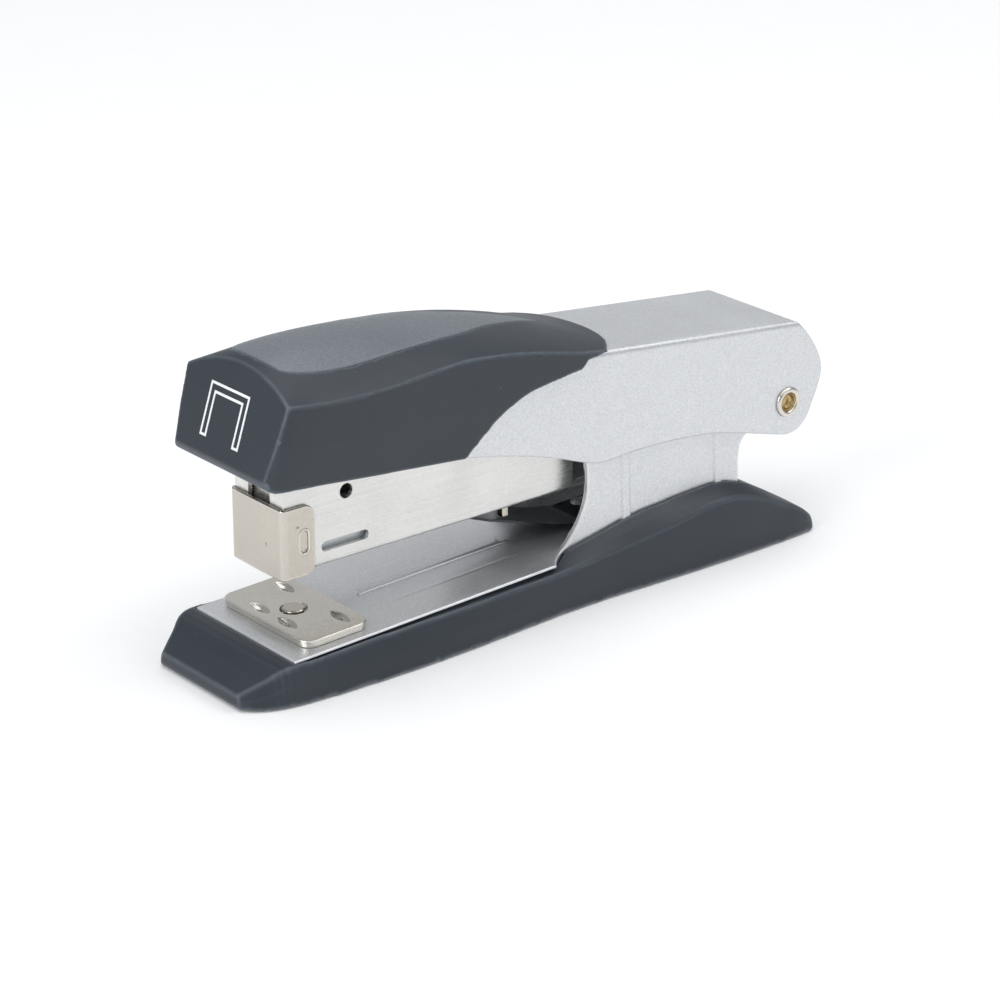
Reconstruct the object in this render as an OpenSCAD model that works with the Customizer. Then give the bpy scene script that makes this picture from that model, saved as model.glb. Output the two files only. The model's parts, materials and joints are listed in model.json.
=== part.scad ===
// Desk stapler: stamped steel body, moulded nose cap and base cover, turning anvil.
// X runs from the nose to the tail, Y across the width, Z up from the table. Millimetres.
// Each piece is drawn in the frame it belongs to:
//   in_base()    X from the base plate's front edge, Z from the base cover's lower rim
//   in_plate()   as in_base(), but on top of the sloping base plate
//   in_handle()  from the pivot, with the handle's flat top parallel to X

/* [Staples] */
// Outside width of the staple's crown
staple_crown = 12.8; // [12.6:0.1:12.9]
// Diameter of the staple's wire
staple_wire = 0.5; // [0.45:0.05:0.5]
// Length of a full strip of staples
strip_length = 54; // [45:1:54]

/* [Sheet metal] */
// Thickness of the base plate and its uprights
base_t = 1.2; // [1.0:0.1:1.2]
// Thickness of the handle's channel
handle_t = 0.8; // [0.7:0.1:0.8]
// Thickness of the magazine's channel
magazine_t = 0.9; // [0.8:0.1:0.9]
// Thickness of the nose guard
guard_t = 0.85; // [0.7:0.05:0.85]
// Thickness of the leaf springs
leaf_t = 0.5; // [0.4:0.1:0.5]

/* [Pivot] */
// Distance of the pivot behind the base plate's front edge
pivot_x = 125; // [124.8:0.1:125.2]
// Height of the pivot above the base cover's lower rim
pivot_z = 28.1; // [28:0.1:28.3]
// Radius of the hollow rivet's shank
rivet_r = 2.4; // [2.2:0.1:2.6]
// Radius of the hole through the rivet
rivet_bore_r = 1.5; // [1.2:0.1:1.6]
// Radial clearance of everything that turns on a pin
running_gap = 0.05; // [0.03:0.01:0.08]

/* [Handle] */
// Outside width of the handle's channel
handle_w = 26.7; // [26.6:0.1:26.8]
// Height of the handle's flat top above the pivot
handle_top = 16.85; // [16.8:0.05:17]
// Slope of the handle's top at rest, in degrees
handle_tilt = 5.8; // [5.7:0.1:5.9]

/* [Base] */
// Width of the base plate
plate_w = 32; // [31.6:0.1:32]
// Height of the base plate's top at its front edge
plate_z = 7.84; // [7.8:0.02:7.9]
// Slope of the base plate, in degrees
plate_tilt = 2.13; // [2.1:0.01:2.2]
// Outside width over the two uprights
uprights_w = 24.2; // [24.0:0.1:24.2]
// How far the rubber sole stands out below the base cover
sole_out = 0.4; // [0.3:0.1:0.6]

/* [Magazine] */
// Height of the magazine's underside
magazine_z = 20.5; // [20.4:0.1:20.6]
// Height of the magazine's side walls
magazine_h = 17.1; // [16.5:0.1:17.1]
// Rear end of the bright magazine channel
magazine_end = 73.1; // [73:0.1:74]

/* [Anvil] */
// Size of the anvil along X
anvil_l = 15.1; // [14.6:0.1:15.1]
// Size of the anvil along Y
anvil_w = 28; // [26:0.5:28]
// Thickness of each of the anvil's two leaves
anvil_t = 0.8; // [0.7:0.05:0.8]
// Distance of the anvil's stud behind the base plate's front edge
anvil_x = 11.3; // [11.2:0.1:11.4]

/* [Hidden] */

$fn = 48;
// From the base plate's front edge to the middle of the whole stapler's length
front_to_centre = 61.85;
// Enough to carry a cutting block clear of what it cuts
past = 1;

magazine_in = staple_crown / 2 + 0.2;
magazine_out = magazine_in + magazine_t;
guard_out = magazine_out + guard_t;
guard_x = 3.2;
flange_x = guard_x + guard_t + 0.05;
blade_t = 0.5;
rail_x = 6.5;
rail_out = staple_crown / 2 - staple_wire - 0.2;
rail_t = 0.7;
rail_z = magazine_z + magazine_t;
rail_h = 5.8;
rail_end = 104;
rod_r = 0.9;
rod_z = 24.4;
pusher_x = 6.3;
pusher_l = 10.7;
pusher_end = pusher_x + pusher_l;
handle_out = handle_w / 2;
handle_in = handle_out - handle_t;
upright_out = uprights_w / 2;
upright_in = upright_out - base_t;
stud_r = 2.0;

// ---- frames ----

module in_base() translate([-front_to_centre, 0, sole_out]) children();

module in_plate() in_base() translate([0, 0, plate_z]) rotate([0, -plate_tilt, 0]) children();

module in_handle() in_base() translate([pivot_x, 0, pivot_z]) rotate([0, handle_tilt, 0]) children();

// ---- shapes ----

// Catmull-Rom point at t between b and c
function bend(a, b, c, d, t) =
  0.5 * (2 * b + (c - a) * t + (2 * a - 5 * b + 4 * c - d) * t ^ 2 + (3 * b - a - 3 * c + d) * t ^ 3);

// Smooth open curve through the rows of p, with n steps from each row to the next
function curve(p, n) = [
  for (i = [0:len(p) - 2], k = [0:n - 1])
    bend(p[max(i - 1, 0)], p[i], p[i + 1], p[min(i + 2, len(p) - 1)], k / n),
  p[len(p) - 1]
];

// Half outline [x, half width] and its mirror image, as one closed outline
function both_sides(p) = concat(p, [for (i = [len(p) - 1:-1:0]) [p[i].x, -p[i].y]]);

// Outline drawn in X and Z, w wide and centred on Y = 0
module across(outline, w) rotate([90, 0, 0]) linear_extrude(w, center = true) polygon(outline);

// Closed skin over rings that all have the same number of points
module loft(rings) {
  n = len(rings[0]);
  m = len(rings);
  polyhedron(
    points = [for (r = rings) each r],
    faces = concat(
      [[for (i = [0:n - 1]) i]],
      [for (j = [0:m - 2], i = [0:n - 1]) each [
        [j * n + i, (j + 1) * n + i, (j + 1) * n + (i + 1) % n],
        [j * n + i, (j + 1) * n + (i + 1) % n, j * n + (i + 1) % n]
      ]],
      [[for (i = [n - 1:-1:0]) (m - 1) * n + i]]
    )
  );
}

// Shaft of radius r along Y, l long and centred
module y_pin(r, l) rotate([90, 0, 0]) cylinder(r = r, h = l, center = true);

// Shaft of radius r along X from x0 to x1
module x_pin(r, x0, x1) translate([x0, 0, 0]) rotate([0, 90, 0]) cylinder(r = r, h = x1 - x0);

// Block centred on Y = 0
module bar(x0, x1, w, z0, z1) translate([x0, -w / 2, z0]) cube([x1 - x0, w, z1 - z0]);

// Slot with round ends between x0 and x1, r in radius, cut through along Y
module y_slot(x0, x1, z, r, l) {
  translate([x0 + r, 0, z]) y_pin(r, l);
  translate([x1 - r, 0, z]) y_pin(r, l);
  bar(x0 + r, x1 - r, l, z - r, z + r);
}

// Rectangle with rounded corners, standing on Z = 0
module rounded_plate(l, w, h, r) {
  for (sx = [-1, 1], sy = [-1, 1])
    translate([sx * (l / 2 - r), sy * (w / 2 - r), 0]) cylinder(r = r, h = h);
  translate([-l / 2, -w / 2 + r, 0]) cube([l, w - 2 * r, h]);
  translate([-l / 2 + r, -w / 2, 0]) cube([l - 2 * r, w, h]);
}

// Cross-section of a channel: 2 a wide, from z0 up to z1, upper corners of radius r
module arch_section(a, z0, z1, r) {
  translate([-a, z0]) square([2 * a, z1 - z0 - r]);
  translate([-a + r, z0]) square([2 * a - 2 * r, z1 - z0]);
  for (s = [-1, 1]) translate([s * (a - r), z1 - r]) circle(r);
}

// Extrudes a section drawn in Y and Z along X from x0 to x1
module along_x(x0, x1)
  translate([x0, 0, 0]) rotate([90, 0, 90]) linear_extrude(x1 - x0) children();

// ---- base ----

// Base cover, from front to rear: x, half width at the foot, half width and height
// at the crease, height beside the uprights
cover_rows = [
  [-10.5, 12.7, 12.3, 2.8, 2.8],
  [-9.2, 14.2, 13.1, 3.55, 3.55],
  [-6.3, 16.2, 14.8, 5.2, 5.2],
  [-2.2, 17.6, 16.9, 7.5, 7.5],
  [6, 18.5, 17, 7.55, 7.55],
  [16, 18.9, 17, 7.9, 7.9],
  [28, 19, 17, 8.1, 8.1],
  [40, 18.6, 16.9, 8.1, 8.6],
  [52, 17.75, 16.5, 8.25, 9],
  [62, 17.1, 16.3, 8.35, 9.5],
  [68.2, 16.9, 16.2, 8.75, 10.9],
  [75.8, 16.8, 16.1, 9.4, 12.3],
  [83, 17.1, 16.2, 10.1, 13.7],
  [92, 17.4, 16.4, 11.2, 14.5],
  [102, 17.6, 16.6, 12.8, 15.1],
  [108, 17.65, 16.7, 12.8, 14.9],
  [113.4, 17.6, 16.7, 11.6, 13.4],
  [118, 17.5, 16.6, 9.8, 11.1],
  [122, 17.4, 16.5, 7.9, 8.8],
  [127, 17.2, 16.3, 5.5, 5.7],
  [130.3, 16.6, 15.8, 3, 3.1],
  [131.6, 14.6, 14, 1.9, 2]
];

// One ring of the base cover, from the foot up and over to the other foot
function cover_ring(r) =
  let (top_half = min(upright_out + 0.55, r[2] - 1), half = [
    [r[1], 0],
    [(r[1] + r[2]) / 2 + 0.15, r[3] / 2],
    [r[2] + 0.1, r[3] - 0.5],
    [r[2] - 0.3, r[3]],
    [(r[2] + top_half) / 2, (r[3] + r[4]) / 2],
    [top_half, r[4]]
  ])
  [for (p = concat(half, [for (i = [len(half) - 1:-1:0]) [-half[i].x, half[i].y]])) [r[0], p.x, p.y]];

// Footprint of the base cover drawn in by d
function footprint(d) = both_sides(concat(
  [[cover_rows[0][0] + d, cover_rows[0][1] - d]],
  [for (r = curve(cover_rows, 2)) if (r[0] > cover_rows[0][0] + d && r[0] < 131.6 - d) [r[0], r[1] - d]],
  [[131.6 - d, 14.6 - d]]
));

// Half outline of the base plate, seen from above
plate_side = concat(
  [[0, plate_w / 2], [62.1, plate_w / 2]],
  curve([[62.2, plate_w / 2 - 0.3], [63.3, 14.4], [64.8, 13.1], [67.2, upright_out - 0.5]], 3),
  [[113.4, upright_out - 0.5]]
);

sole_in = 1.5;
pocket_gap = 0.36;
sole_z = 1.2;
deck_t = 1.5;
screw_places = [[46, -9], [46, 9], [103, -7], [103, 7]];
screw_r = 1.3;
screw_head_r = 2.6;
button_r = 5;

module sole() color("#2b2d30") in_base() difference() {
  translate([0, 0, -sole_out]) linear_extrude(sole_out + sole_z) polygon(footprint(sole_in));
  translate([anvil_x, 0, -sole_out - past]) cylinder(r = button_r + 2, h = 4);
}

module base_cover() color("#39414b") difference() {
  in_base() loft([for (r = curve(cover_rows, 2)) cover_ring(r)]);
  in_base() translate([0, 0, -past]) linear_extrude(sole_z + past) polygon(footprint(sole_in));
  // seat of the plate, and the pocket that the uprights stand in
  in_plate() translate([0, 0, -base_t]) linear_extrude(20) polygon(both_sides([
    [-0.05, plate_w / 2 + 0.3], [62.3, plate_w / 2 + 0.3], [63.5, 14.7], [65, 13.4],
    [67.5, upright_out + pocket_gap], [113.7, upright_out + pocket_gap]
  ]));
  // hollow underside
  in_plate() bar(-3, 115, 29, -12, -base_t - deck_t);
  // window for the anvil's spring and button
  in_plate() bar(4, 30, 15, -base_t - deck_t - past, 0);
  for (p = screw_places)
    in_plate() translate([p.x, p.y, -base_t - deck_t - past]) cylinder(r = screw_r, h = 4);
}

// Side view of one upright, up to its ear around the pivot
upright_side = concat(
  [[65.2, 9.7], [66, 10]],
  curve([[66.4, 10.5], [67.7, 11.6], [69.4, 13.5], [71.4, 16.3], [72.8, 20], [73.1, 24], [72.7, 27.8]], 3),
  curve([[72.6, 31], [74, 34], [78, 35.4], [90, 35.6]], 3),
  [[pivot_x - 2.6, pivot_z + 6]],
  [[pivot_x, pivot_z], [pivot_x - 2.6, pivot_z - 6]],
  curve([[118.5, 22.7], [115.6, 23.3], [113.8, 22], [113.1, 19.6], [113.1, 16], [113.3, 11.2]], 3)
);
ear_r = 6.5;
rib_out = 0.28;
rib_places = [[83.2, 2.6], [107.5, 2.4]];
bead_x = [26.8, 60];
bead_w = 1.6;
bead_h = 0.18;

module base_plate() color("#b9bcc2") difference() {
  union() {
    in_plate() translate([0, 0, -base_t]) linear_extrude(base_t) polygon(both_sides(plate_side));
    for (s = [-1, 1]) in_base() translate([0, s * (upright_out - base_t / 2), 0]) {
      across(upright_side, base_t);
      translate([pivot_x, 0, pivot_z]) y_pin(ear_r, base_t);
    }
    // stiffening ribs pressed outwards in both uprights
    for (r = rib_places, s = [-1, 1]) in_plate() translate([0, s * (upright_out + rib_out - 0.4), 0])
      bar(r[0] - r[1] / 2, r[0] + r[1] / 2, 0.8, -0.4, 20);
    // long stiffening bead along the middle, clear of the turning anvil
    in_plate() bar(bead_x[0], bead_x[1], bead_w, -0.2, bead_h);
  }
  in_base() translate([pivot_x, 0, pivot_z]) y_pin(rivet_r, 40);
  in_plate() translate([anvil_x, 0, -5]) cylinder(r = stud_r + running_gap, h = 10);
  for (p = screw_places) in_plate() translate([p.x, p.y, -base_t - past]) cylinder(r = screw_r, h = past + 0.8);
  for (y = spring_rivet_y) in_plate() translate([spring_rivet_x, y, -5]) cylinder(r = spring_rivet_r, h = 10);
}

module cover_screws() color("#8d9095") for (p = screw_places) in_plate() translate([p.x, p.y, 0]) {
  translate([0, 0, -base_t - deck_t]) cylinder(r = screw_r, h = deck_t + 0.8);
  translate([0, 0, -base_t - deck_t - 1.3]) cylinder(r = screw_head_r, h = 1.3);
}

rivet_head_r = 3.15;
rivet_head = 0.65;

module pivot_rivet() color("#c9c2b2") in_base() translate([pivot_x, 0, pivot_z]) difference() {
  union() {
    y_pin(rivet_r, handle_w + 0.2);
    for (s = [-90, 90]) rotate([s, 0, 0]) translate([0, 0, handle_out + running_gap]) rotate_extrude()
      polygon([
        [0, 0], [rivet_head_r, 0], [rivet_head_r, rivet_head * 0.4],
        [rivet_head_r - 0.3, rivet_head * 0.85], [rivet_head_r - 0.75, rivet_head],
        [rivet_bore_r + 0.35, rivet_head], [0, rivet_head]
      ]);
  }
  y_pin(rivet_bore_r, 2 * handle_w);
}

module pivot_spacers() color("#d8d9d6") in_base() translate([pivot_x, 0, pivot_z])
  for (s = [-1, 1]) translate([0, s * (magazine_in + upright_in) / 2, 0]) difference() {
    y_pin(4, upright_in - magazine_in - 0.1);
    y_pin(rivet_r, 20);
  }

// ---- springs and anvil below and on the base plate ----

spring_rivet_x = 84;
spring_rivet_y = [-3.2, 3.2];
spring_rivet_r = 1;

// Top edge of the leaf spring that carries the magazine, in side view
return_leaf = curve([[46.6, 20.3], [52, 19], [57.6, 17.4], [65, 14.9], [71.5, 12.9], [77, 11.8]], 3);

module return_spring() color("#2f3237") difference() {
  intersection() {
    in_base() union() {
      across(concat(return_leaf, [for (i = [len(return_leaf) - 1:-1:0]) return_leaf[i] - [0.1, leaf_t]]), 12);
      across([[76.9, 11.82], [78.5, 11.42], [90, 11.78], [90, 11.28], [78.5, 10.92], [76.8, 11.3]], 12);
    }
    translate([-front_to_centre, 0, 0]) linear_extrude(40)
      polygon(both_sides([[46, 1.2], [47, 2], [54, 5.6], [90, 5.6]]));
  }
  for (y = spring_rivet_y) in_plate() translate([spring_rivet_x, y, -5]) cylinder(r = spring_rivet_r, h = 10);
}

module return_spring_rivets() color("#a9aaa8") for (y = spring_rivet_y)
  in_plate() translate([spring_rivet_x, y, 0]) {
    translate([0, 0, -base_t]) cylinder(r = spring_rivet_r, h = base_t + 0.9);
    translate([0, 0, 0.72]) cylinder(r1 = 1.9, r2 = 1.3, h = 0.7);
  }

spring_drop = 1.35;

module anvil_spring() color("#50545a") in_plate() difference() {
  across([
    [29, -base_t], [25, -base_t], [18, -base_t - spring_drop], [5.4, -base_t - spring_drop],
    [5.4, -base_t - spring_drop - 0.3], [18.1, -base_t - spring_drop - 0.3],
    [25.1, -base_t - 0.3], [29, -base_t - 0.3]
  ], 9);
  translate([anvil_x, 0, -5]) cylinder(r = stud_r + 0.3, h = 10);
}

button_top = -base_t - spring_drop - 0.35;
button_h = 1.1;

module anvil_button() color("#c4bfae") in_plate() translate([anvil_x, 0, button_top - button_h]) difference() {
  cylinder(r = button_r, h = button_h);
  translate([0, 0, -past]) cylinder(r = stud_r + running_gap, h = 4);
}

// The anvil's underside clears the plate by this much, so that it turns freely
anvil_seat = 0.05;
anvil_mid = 11.55;

// Hollow that bends one staple leg: centre x and y, pressed in from above
module clinch_hollow(x, y) {
  chord_r = 9;
  depth = 0.55;
  translate([x, y, anvil_seat + 2 * anvil_t + chord_r - depth]) rotate([0, 90, 0])
    cylinder(r = chord_r, h = 1.7, center = true, $fn = 96);
}

module anvil_leaf(z, trim) translate([anvil_mid, 0, z]) rounded_plate(anvil_l - trim, anvil_w - trim, anvil_t, 2.8);

module anvil_plate() color("#cfc8b8") in_plate() difference() {
  anvil_leaf(anvil_seat + anvil_t, 0);
  for (s = [-1, 1]) {
    clinch_hollow(6.7, s * 4.4);
    clinch_hollow(15.6, s * 8.8);
  }
  translate([anvil_x, 0, -5]) cylinder(r = stud_r, h = 10);
}

module anvil_backing() color("#bdb6a6") in_plate() difference() {
  anvil_leaf(anvil_seat, 0.5);
  translate([anvil_x, 0, -5]) cylinder(r = stud_r, h = 10);
}

anvil_top = anvil_seat + 2 * anvil_t;
button_foot = button_top - button_h;
stud_head_h = 0.7;

module anvil_stud() color("#b9b2a2") in_plate() translate([anvil_x, 0, 0]) {
  translate([0, 0, button_foot - 0.1]) cylinder(r = stud_r, h = anvil_top - button_foot + 0.1);
  translate([0, 0, button_foot - 0.05 - stud_head_h]) cylinder(r = 3, h = stud_head_h);
  translate([0, 0, anvil_top]) cylinder(r1 = 2.3, r2 = 2, h = 0.3);
}

// ---- magazine ----

// Side view of the magazine channel, with its lower rear corner rounded
magazine_side = concat(
  [[flange_x, magazine_z + magazine_h], [flange_x, magazine_z]],
  [for (a = [0:15:90]) [magazine_end - 2 + 2 * sin(a), magazine_z + 2 - 2 * cos(a)]],
  [[magazine_end, magazine_z + magazine_h]]
);

module magazine() color("#dcdcd8") in_base() difference() {
  intersection() {
    along_x(flange_x, magazine_end) union() {
      translate([-magazine_out, magazine_z + 1]) square([2 * magazine_out, magazine_h - 1]);
      translate([-magazine_out + 1, magazine_z]) square([2 * magazine_out - 2, 2]);
      for (s = [-1, 1]) translate([s * (magazine_out - 1), magazine_z + 1]) circle(1);
    }
    across(magazine_side, 2 * magazine_out);
  }
  // inside of the channel, open at the top and at the rear
  bar(flange_x + magazine_t, magazine_end + past, 2 * magazine_in, rail_z, 60);
  // gap between the front flanges, and the way out for the staple
  bar(0, flange_x + magazine_t + past, 6.8, magazine_z - past, 60);
  bar(flange_x + magazine_t, rail_x + 0.4, 2 * magazine_in, magazine_z - past, rail_z + past);
  // sight slots for the last staples, and the upper holes
  y_slot(12.6, 23.4, 24.3, 0.95, 40);
  translate([18.4, 0, 34.1]) y_pin(1.45, 40);
}

guard_l = 7.4;
guard_z = [20, 33.9];
guard_corner = 2.2;

// Side view of the guard, with its two rear corners rounded
guard_side = concat(
  [[guard_x, guard_z[1]], [guard_x, guard_z[0]]],
  [for (a = [0:15:90]) [
    guard_x + guard_l - guard_corner * (1 - sin(a)), guard_z[0] + guard_corner * (1 - cos(a))]],
  [for (a = [90:-15:0]) [
    guard_x + guard_l - guard_corner * (1 - sin(a)), guard_z[1] - guard_corner * (1 - cos(a))]]
);

module nose_guard() color("#cbc6ba") in_base() difference() {
  union() {
    intersection() {
      translate([0, 0, 10]) linear_extrude(40) union() {
        translate([guard_x, -guard_out + 1]) square([guard_l, 2 * guard_out - 2]);
        translate([guard_x + 1, -guard_out]) square([guard_l - 1, 2 * guard_out]);
        for (s = [-1, 1]) translate([guard_x + 1, s * (guard_out - 1)]) circle(1);
      }
      across(guard_side, 40);
    }
    // pill-shaped bead in both flanges
    for (z = [25.5, 28.2]) translate([8.15, 0, z]) y_pin(0.85, 2 * guard_out + 0.4);
    bar(7.3, 9, 2 * guard_out + 0.4, 25.5, 28.2);
  }
  bar(guard_x + guard_t, 20, 2 * magazine_out, 0, 60);
}

module staple_rail() color("#a9b0b8") in_base() difference() {
  bar(rail_x, rail_end, 2 * rail_out, rail_z, rail_z + rail_h);
  bar(rail_x + 0.8, rail_end + past, 2 * (rail_out - rail_t), rail_z + rail_t, 60);
  bar(rail_x - past, rail_x + 1.2, 2 * (rail_out - rail_t), rail_z + rail_h - 0.6, 60);
  translate([0, 0, rod_z]) x_pin(rod_r, 0, rail_x + 4);
}

module guide_rod() color("#c6c7c5") in_base() translate([0, 0, rod_z]) x_pin(rod_r, rail_x, rail_end + 2);

bracket_side = concat(
  [[58, 25.2], [58, rail_z + 0.1], [magazine_end, rail_z + 0.1], [75.2, 22.1], [90, 22.4], [114, 22.4]],
  [[pivot_x - 1.5, pivot_z - 5.6], [pivot_x, pivot_z], [pivot_x - 1.5, pivot_z + 5.6]],
  [[100, 36], [77, 36.4]],
  curve([[75, 36.4], [73.2, 35.4], [72.6, 33]], 3),
  [[72.6, 25.2]]
);

module magazine_bracket() color("#8f9398") in_base() difference() {
  union() {
    for (s = [-1, 1]) translate([0, s * (rail_out + magazine_in) / 2, 0]) {
      across(bracket_side, magazine_in - rail_out);
      translate([pivot_x, 0, pivot_z]) y_pin(5.8, magazine_in - rail_out);
    }
    bar(82, 100, 2 * magazine_in, 35, 35.9);
    bar(rail_end, rail_end + 0.9, 2 * magazine_in, rail_z + 1.1, 34);
  }
  translate([pivot_x, 0, pivot_z]) y_pin(rivet_r + running_gap, 40);
  translate([0, 0, rod_z]) x_pin(rod_r, rail_end - past, rail_end + 3);
}

module spring_foot() color("#d3cfc4") in_base() difference() {
  bar(57.9, 59.3, 9, 17.6, magazine_z);
  bar(57, 60, 6, 17, 19.6);
}

// ---- pusher ----

module follower_spring() color("#9b9ea2") in_base() translate([0, 0, rod_z]) difference() {
  x_pin(2.1, pusher_end, rail_end);
  x_pin(1.2, pusher_end - past, rail_end + past);
}

module pusher() color("#5c6268") in_base() difference() {
  union() {
    bar(pusher_x, pusher_end, 12.6, rail_z + rail_h + 0.1, 32);
    for (s = [-1, 1]) translate([0, s * (rail_out + 0.4), 0]) bar(pusher_x, pusher_end, 0.5, 25.6, 28);
    bar(pusher_x + 1.4, pusher_end, 9.2, rail_z + rail_t + 0.2, 28);
  }
  translate([0, 0, rod_z]) x_pin(rod_r + running_gap, 0, 40);
  // finger scoop in the top
  translate([(pusher_x + pusher_end) / 2, 0, 34.6]) y_pin(4.2, 9);
}

// ---- handle ----

// Side view of the handle's channel, clockwise from its upper front corner
handle_side = concat(
  [[-122.5, handle_top], [-0.6, handle_top]],
  curve([[0.6, 16.6], [4.1, 13.5], [7.2, 9.6], [8.6, 6.2], [8.3, 3], [7.1, -0.7], [5.7, -4.2], [3.3, -6.4], [0.4, -7]], 3),
  curve([[-3, -6.5], [-15, -4.55], [-22.2, -3.9], [-31.7, -4], [-40.9, -4.75], [-46.9, -5.7], [-50, -5.95]], 3),
  curve([[-54.3, -5.1], [-62.2, -3.1], [-71.1, -1.5], [-83.5, -0.1]], 3),
  [[-86, 1.2], [-122.5, 1.2]]
);
rivet_x = -112.5;
rivet_y = [-3.6, 3.6];
driver_rivet_r = 1.2;

module handle_channel() color("#b4b7bd") in_handle() difference() {
  intersection() {
    along_x(-122.5, 12) arch_section(handle_out, -10, handle_top, 1.3);
    across(handle_side, handle_w);
  }
  along_x(-124, 14) arch_section(handle_in, -12, handle_top - handle_t, 0.5);
  y_pin(rivet_r + running_gap, 40);
  for (y = rivet_y) translate([rivet_x, y, 10]) cylinder(r = driver_rivet_r, h = 10);
}

// Cap, from front to rear: x, half width and height of the lower edge, half width and
// height of the crease, height of the crown, lean of the section
cap_rows = [
  [-128.9, 13.9, 1.7, 15.8, 16.1, 20.2, 0.222],
  [-127.8, 14.7, 0.5, 15.85, 16.1, 20.8, 0.215],
  [-126, 15, -0.1, 15.95, 16.05, 21.5, 0.2],
  [-122, 14.75, -0.2, 16.1, 15.95, 22.6, 0.16],
  [-117, 14.5, -0.2, 16.3, 16.1, 23.4, 0.11],
  [-110, 14.4, -0.2, 16.4, 16.65, 23.95, 0.06],
  [-103, 14.3, -0.2, 16.4, 17.5, 24.15, 0.02],
  [-96, 14.1, -0.2, 16.3, 18.7, 24.1, 0],
  [-88, 14, -0.2, 16.1, 19.9, 23.7, 0],
  [-80, 14, -0.2, 15.9, 20.05, 23.1, 0],
  [-72, 14, -0.2, 15.7, 19.6, 22.4, 0],
  [-64, 14, -0.2, 15.4, 18.65, 21.3, 0],
  [-58, 14, -0.2, 15, 17.85, 20.1, 0],
  [-52, 14, -0.2, 14.4, 17.35, 18.9, 0],
  [-44, 13.8, -0.2, 14, 17.1, 17.5, 0]
];
crown_steps = 6;

// One ring of the cap, lifted by up and drawn in by inset
function cap_ring(r, up, inset) =
  let (
    foot = inset > 0 ? handle_out + 0.05 : r[1],
    foot_z = r[2] - inset,
    crease = r[3] - inset,
    crease_z = r[4] + up - 0.3 * inset,
    rise = r[5] - r[4] - 0.7 * inset,
    half = concat(
      [[foot, foot_z], [(foot + crease) / 2 + 0.25, (foot_z + crease_z) / 2]],
      [for (k = [0:crown_steps - 1]) let (f = 1 - k / crown_steps)
        [crease * f, crease_z + rise * (1 - f ^ 2)]]
    )
  )
  [for (p = concat(half, [[0, crease_z + rise]], [for (i = [len(half) - 1:-1:0]) [-half[i].x, half[i].y]]))
    [r[0] + r[6] * (p.y - 8.9), p.x, p.y]];

module cap_body(up) loft([for (r = curve(cap_rows, 2)) cap_ring(r, up, 0)]);

// Half outline of the inlay, seen from above
inlay_side = concat(
  curve([[-124.4, 0.01], [-124.1, 4], [-123, 8], [-119, 10.1], [-112.8, 10.9], [-106, 10.8], [-97.8, 10.1]], 3),
  curve([[-89.2, 9.1], [-82.6, 7.8], [-75.2, 5.3], [-69.8, 3.8], [-64, 2.1], [-56.7, 0.01]], 3)
);
inlay_t = 1;

module inlay_band(up) difference() {
  linear_extrude(40) polygon(both_sides(inlay_side));
  translate([0, 0, -inlay_t]) cap_body(0);
  difference() {
    translate([-140, -30, -10]) cube([110, 60, 60]);
    cap_body(up);
  }
}

// What the cap leaves free for the handle's side walls to show, in side view
cap_side_cut = concat(
  [[-84.4, -12], [-84.2, -0.4]],
  curve([[-84, -0.2], [-82.3, 1.8], [-78.8, 5.7], [-76.2, 8.1], [-71.3, 11.05], [-65.7, 12.65], [-57.6, 14.3]], 3),
  [[-56.6, 15.3], [-56, 16], [-53.5, 16.3], [-51.5, handle_top], [-30, handle_top], [-30, -12]]
);
// Rear edge of the cap, seen from above
cap_rear = [[-140, 30], [-51, 30], [-51, 13.8], [-49.3, 12], [-47.6, 9.5], [-46.2, 6], [-45.5, 2.5], [-45.4, 0]];

module cap() color("#3a424c") in_handle() difference() {
  intersection() {
    cap_body(0);
    translate([0, 0, -20]) linear_extrude(60) polygon(both_sides(cap_rear));
  }
  loft([for (r = curve([for (r = cap_rows) if (r[0] > -127 && r[0] < -57) r], 2)) cap_ring(r, 0, 1.7)]);
  bar(-122.6, -30, 2 * handle_out + 0.1, -12, handle_top);
  across(cap_side_cut, 60);
  inlay_band(3);
}

module cap_inlay() color("#5c6672") in_handle() inlay_band(0.05);

blade_x = -119.4;
blade_half = staple_crown / 2 - 0.1;
blade_tip = -11.5;

module driver_blade() color("#c3c2bd") in_handle() difference() {
  union() {
    bar(blade_x, blade_x + blade_t, 2 * blade_half, blade_tip, handle_top - handle_t);
    bar(blade_x, -107, 2 * blade_half, handle_top - handle_t - 0.6, handle_top - handle_t);
  }
  for (y = rivet_y) translate([rivet_x, y, 10]) cylinder(r = driver_rivet_r, h = 10);
}

handle_leaf = curve([[-107, 15.4], [-104, 15.1], [-98, 12.6], [-90, 8], [-82, 4.2], [-76, 2.75], [-72.6, 2.75], [-69.5, 4]], 3);

module handle_spring() color("#3a3d42") in_handle() difference() {
  union() {
    across(concat(handle_leaf, [for (i = [len(handle_leaf) - 1:-1:0]) handle_leaf[i] - [0.15, leaf_t]]), 14.6);
    bar(-118.5, -106.9, 2 * blade_half, 14.95, 15.4);
  }
  for (y = rivet_y) translate([rivet_x, y, 10]) cylinder(r = driver_rivet_r, h = 10);
}

module driver_rivets() color("#a8a9a7") in_handle() for (y = rivet_y) translate([rivet_x, y, 0]) {
  translate([0, 0, 14.5]) cylinder(r = driver_rivet_r, h = 3);
  translate([0, 0, handle_top]) cylinder(r1 = 2.1, r2 = 1.4, h = 0.9);
  translate([0, 0, 14.2]) cylinder(r = 2.1, h = 0.75);
}

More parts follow.
